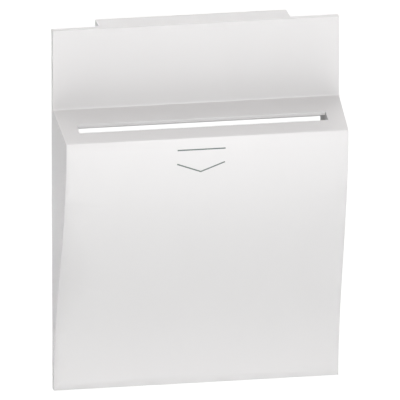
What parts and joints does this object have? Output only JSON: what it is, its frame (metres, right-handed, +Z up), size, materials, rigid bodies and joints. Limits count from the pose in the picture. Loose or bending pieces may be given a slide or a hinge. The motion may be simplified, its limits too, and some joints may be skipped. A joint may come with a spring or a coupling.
{
  "type": "hotel key card switch",
  "caption": "White wall-mounted key card switch: a flat plate with a sloping slotted shelf over a curved pocket, and a switch mechanism behind.",
  "frame": {"origin": "midway between the two box screws, on the wall surface where the yoke's back rests", "axes": "+X right, -Y towards the room, +Z up"},
  "size_m": [0.0676, 0.053, 0.088],
  "materials": {
    "cover_white": "fine satin moulded white",
    "guide_white": "plain moulded white",
    "light_guide": "milky translucent, lit from behind",
    "frame_grey": "moulded mid grey",
    "housing_grey": "moulded light grey",
    "terminal_black": "moulded black",
    "lever_black": "low-friction nylon",
    "yoke_steel": "zinc plated sheet",
    "screw_steel": "zinc plated",
    "spring_steel": "drawn wire",
    "brass": "plain",
    "switch_case": "moulded black",
    "plunger_red": "moulded red",
    "board_green": "solder mask",
    "relay_black": "moulded black",
    "film_yellow": "moulded yellow",
    "sleeve_black": "shrink sleeve",
    "varistor_blue": "dipped epoxy",
    "rectifier_black": "moulded black",
    "resistor_tan": "lacquered",
    "led_clear": "clear resin"
  },
  "bodies": {
    "root": {"front_cover": "cover_white", "card_guide": "guide_white", "lever_pin": "screw_steel", "return_spring": "spring_steel", "switch_frame": "frame_grey", "mounting_yoke": "yoke_steel", "frame_screws": "screw_steel", "guide_screws": "screw_steel", "light_guide": "light_guide", "microswitch_body": "switch_case", "microswitch_lid": "switch_case", "switch_terminals": "brass", "circuit_board": "board_green", "board_screws": "screw_steel", "relay": "relay_black", "film_capacitor": "film_yellow", "smoothing_capacitor": "sleeve_black", "varistor": "varistor_blue", "bridge_rectifier": "rectifier_black", "resistors": "resistor_tan", "slot_leds": "led_clear", "terminal_block": "terminal_black", "terminal_clamps": "brass", "terminal_screws": "screw_steel", "rear_housing": "housing_grey", "housing_screws": "screw_steel"},
    "lever": {"card_lever": "lever_black"},
    "plunger": {"switch_plunger": "plunger_red"},
    "blade": {"contact_blade": "brass"}
  },
  "joints": [
    {"name": "lever_pivot", "type": "hinge", "parent": "root", "child": "lever", "pos_m": [0, -0.0076, -0.005], "axis": [1, 0, 0], "range_deg": [0, 9.5], "stiffness_Nm_per_rad": 0.0002, "springref_deg": -28.65, "deforming": ["return_spring"]},
    {"name": "plunger_slide", "type": "slide", "parent": "root", "child": "plunger", "axis": [0, 1, 0], "range_m": [0, 0.00163]},
    {"name": "blade_pivot", "type": "hinge", "parent": "root", "child": "blade", "pos_m": [0.013, 0.0034, -0.015], "axis": [0, 0, -1], "range_deg": [0, 6.18]}
  ],
  "couplings": [
    {"joint": "plunger_slide", "follows": "lever_pivot", "m_per_rad": 0.0098},
    {"joint": "blade_pivot", "follows": "lever_pivot", "ratio": 0.65}
  ]
}
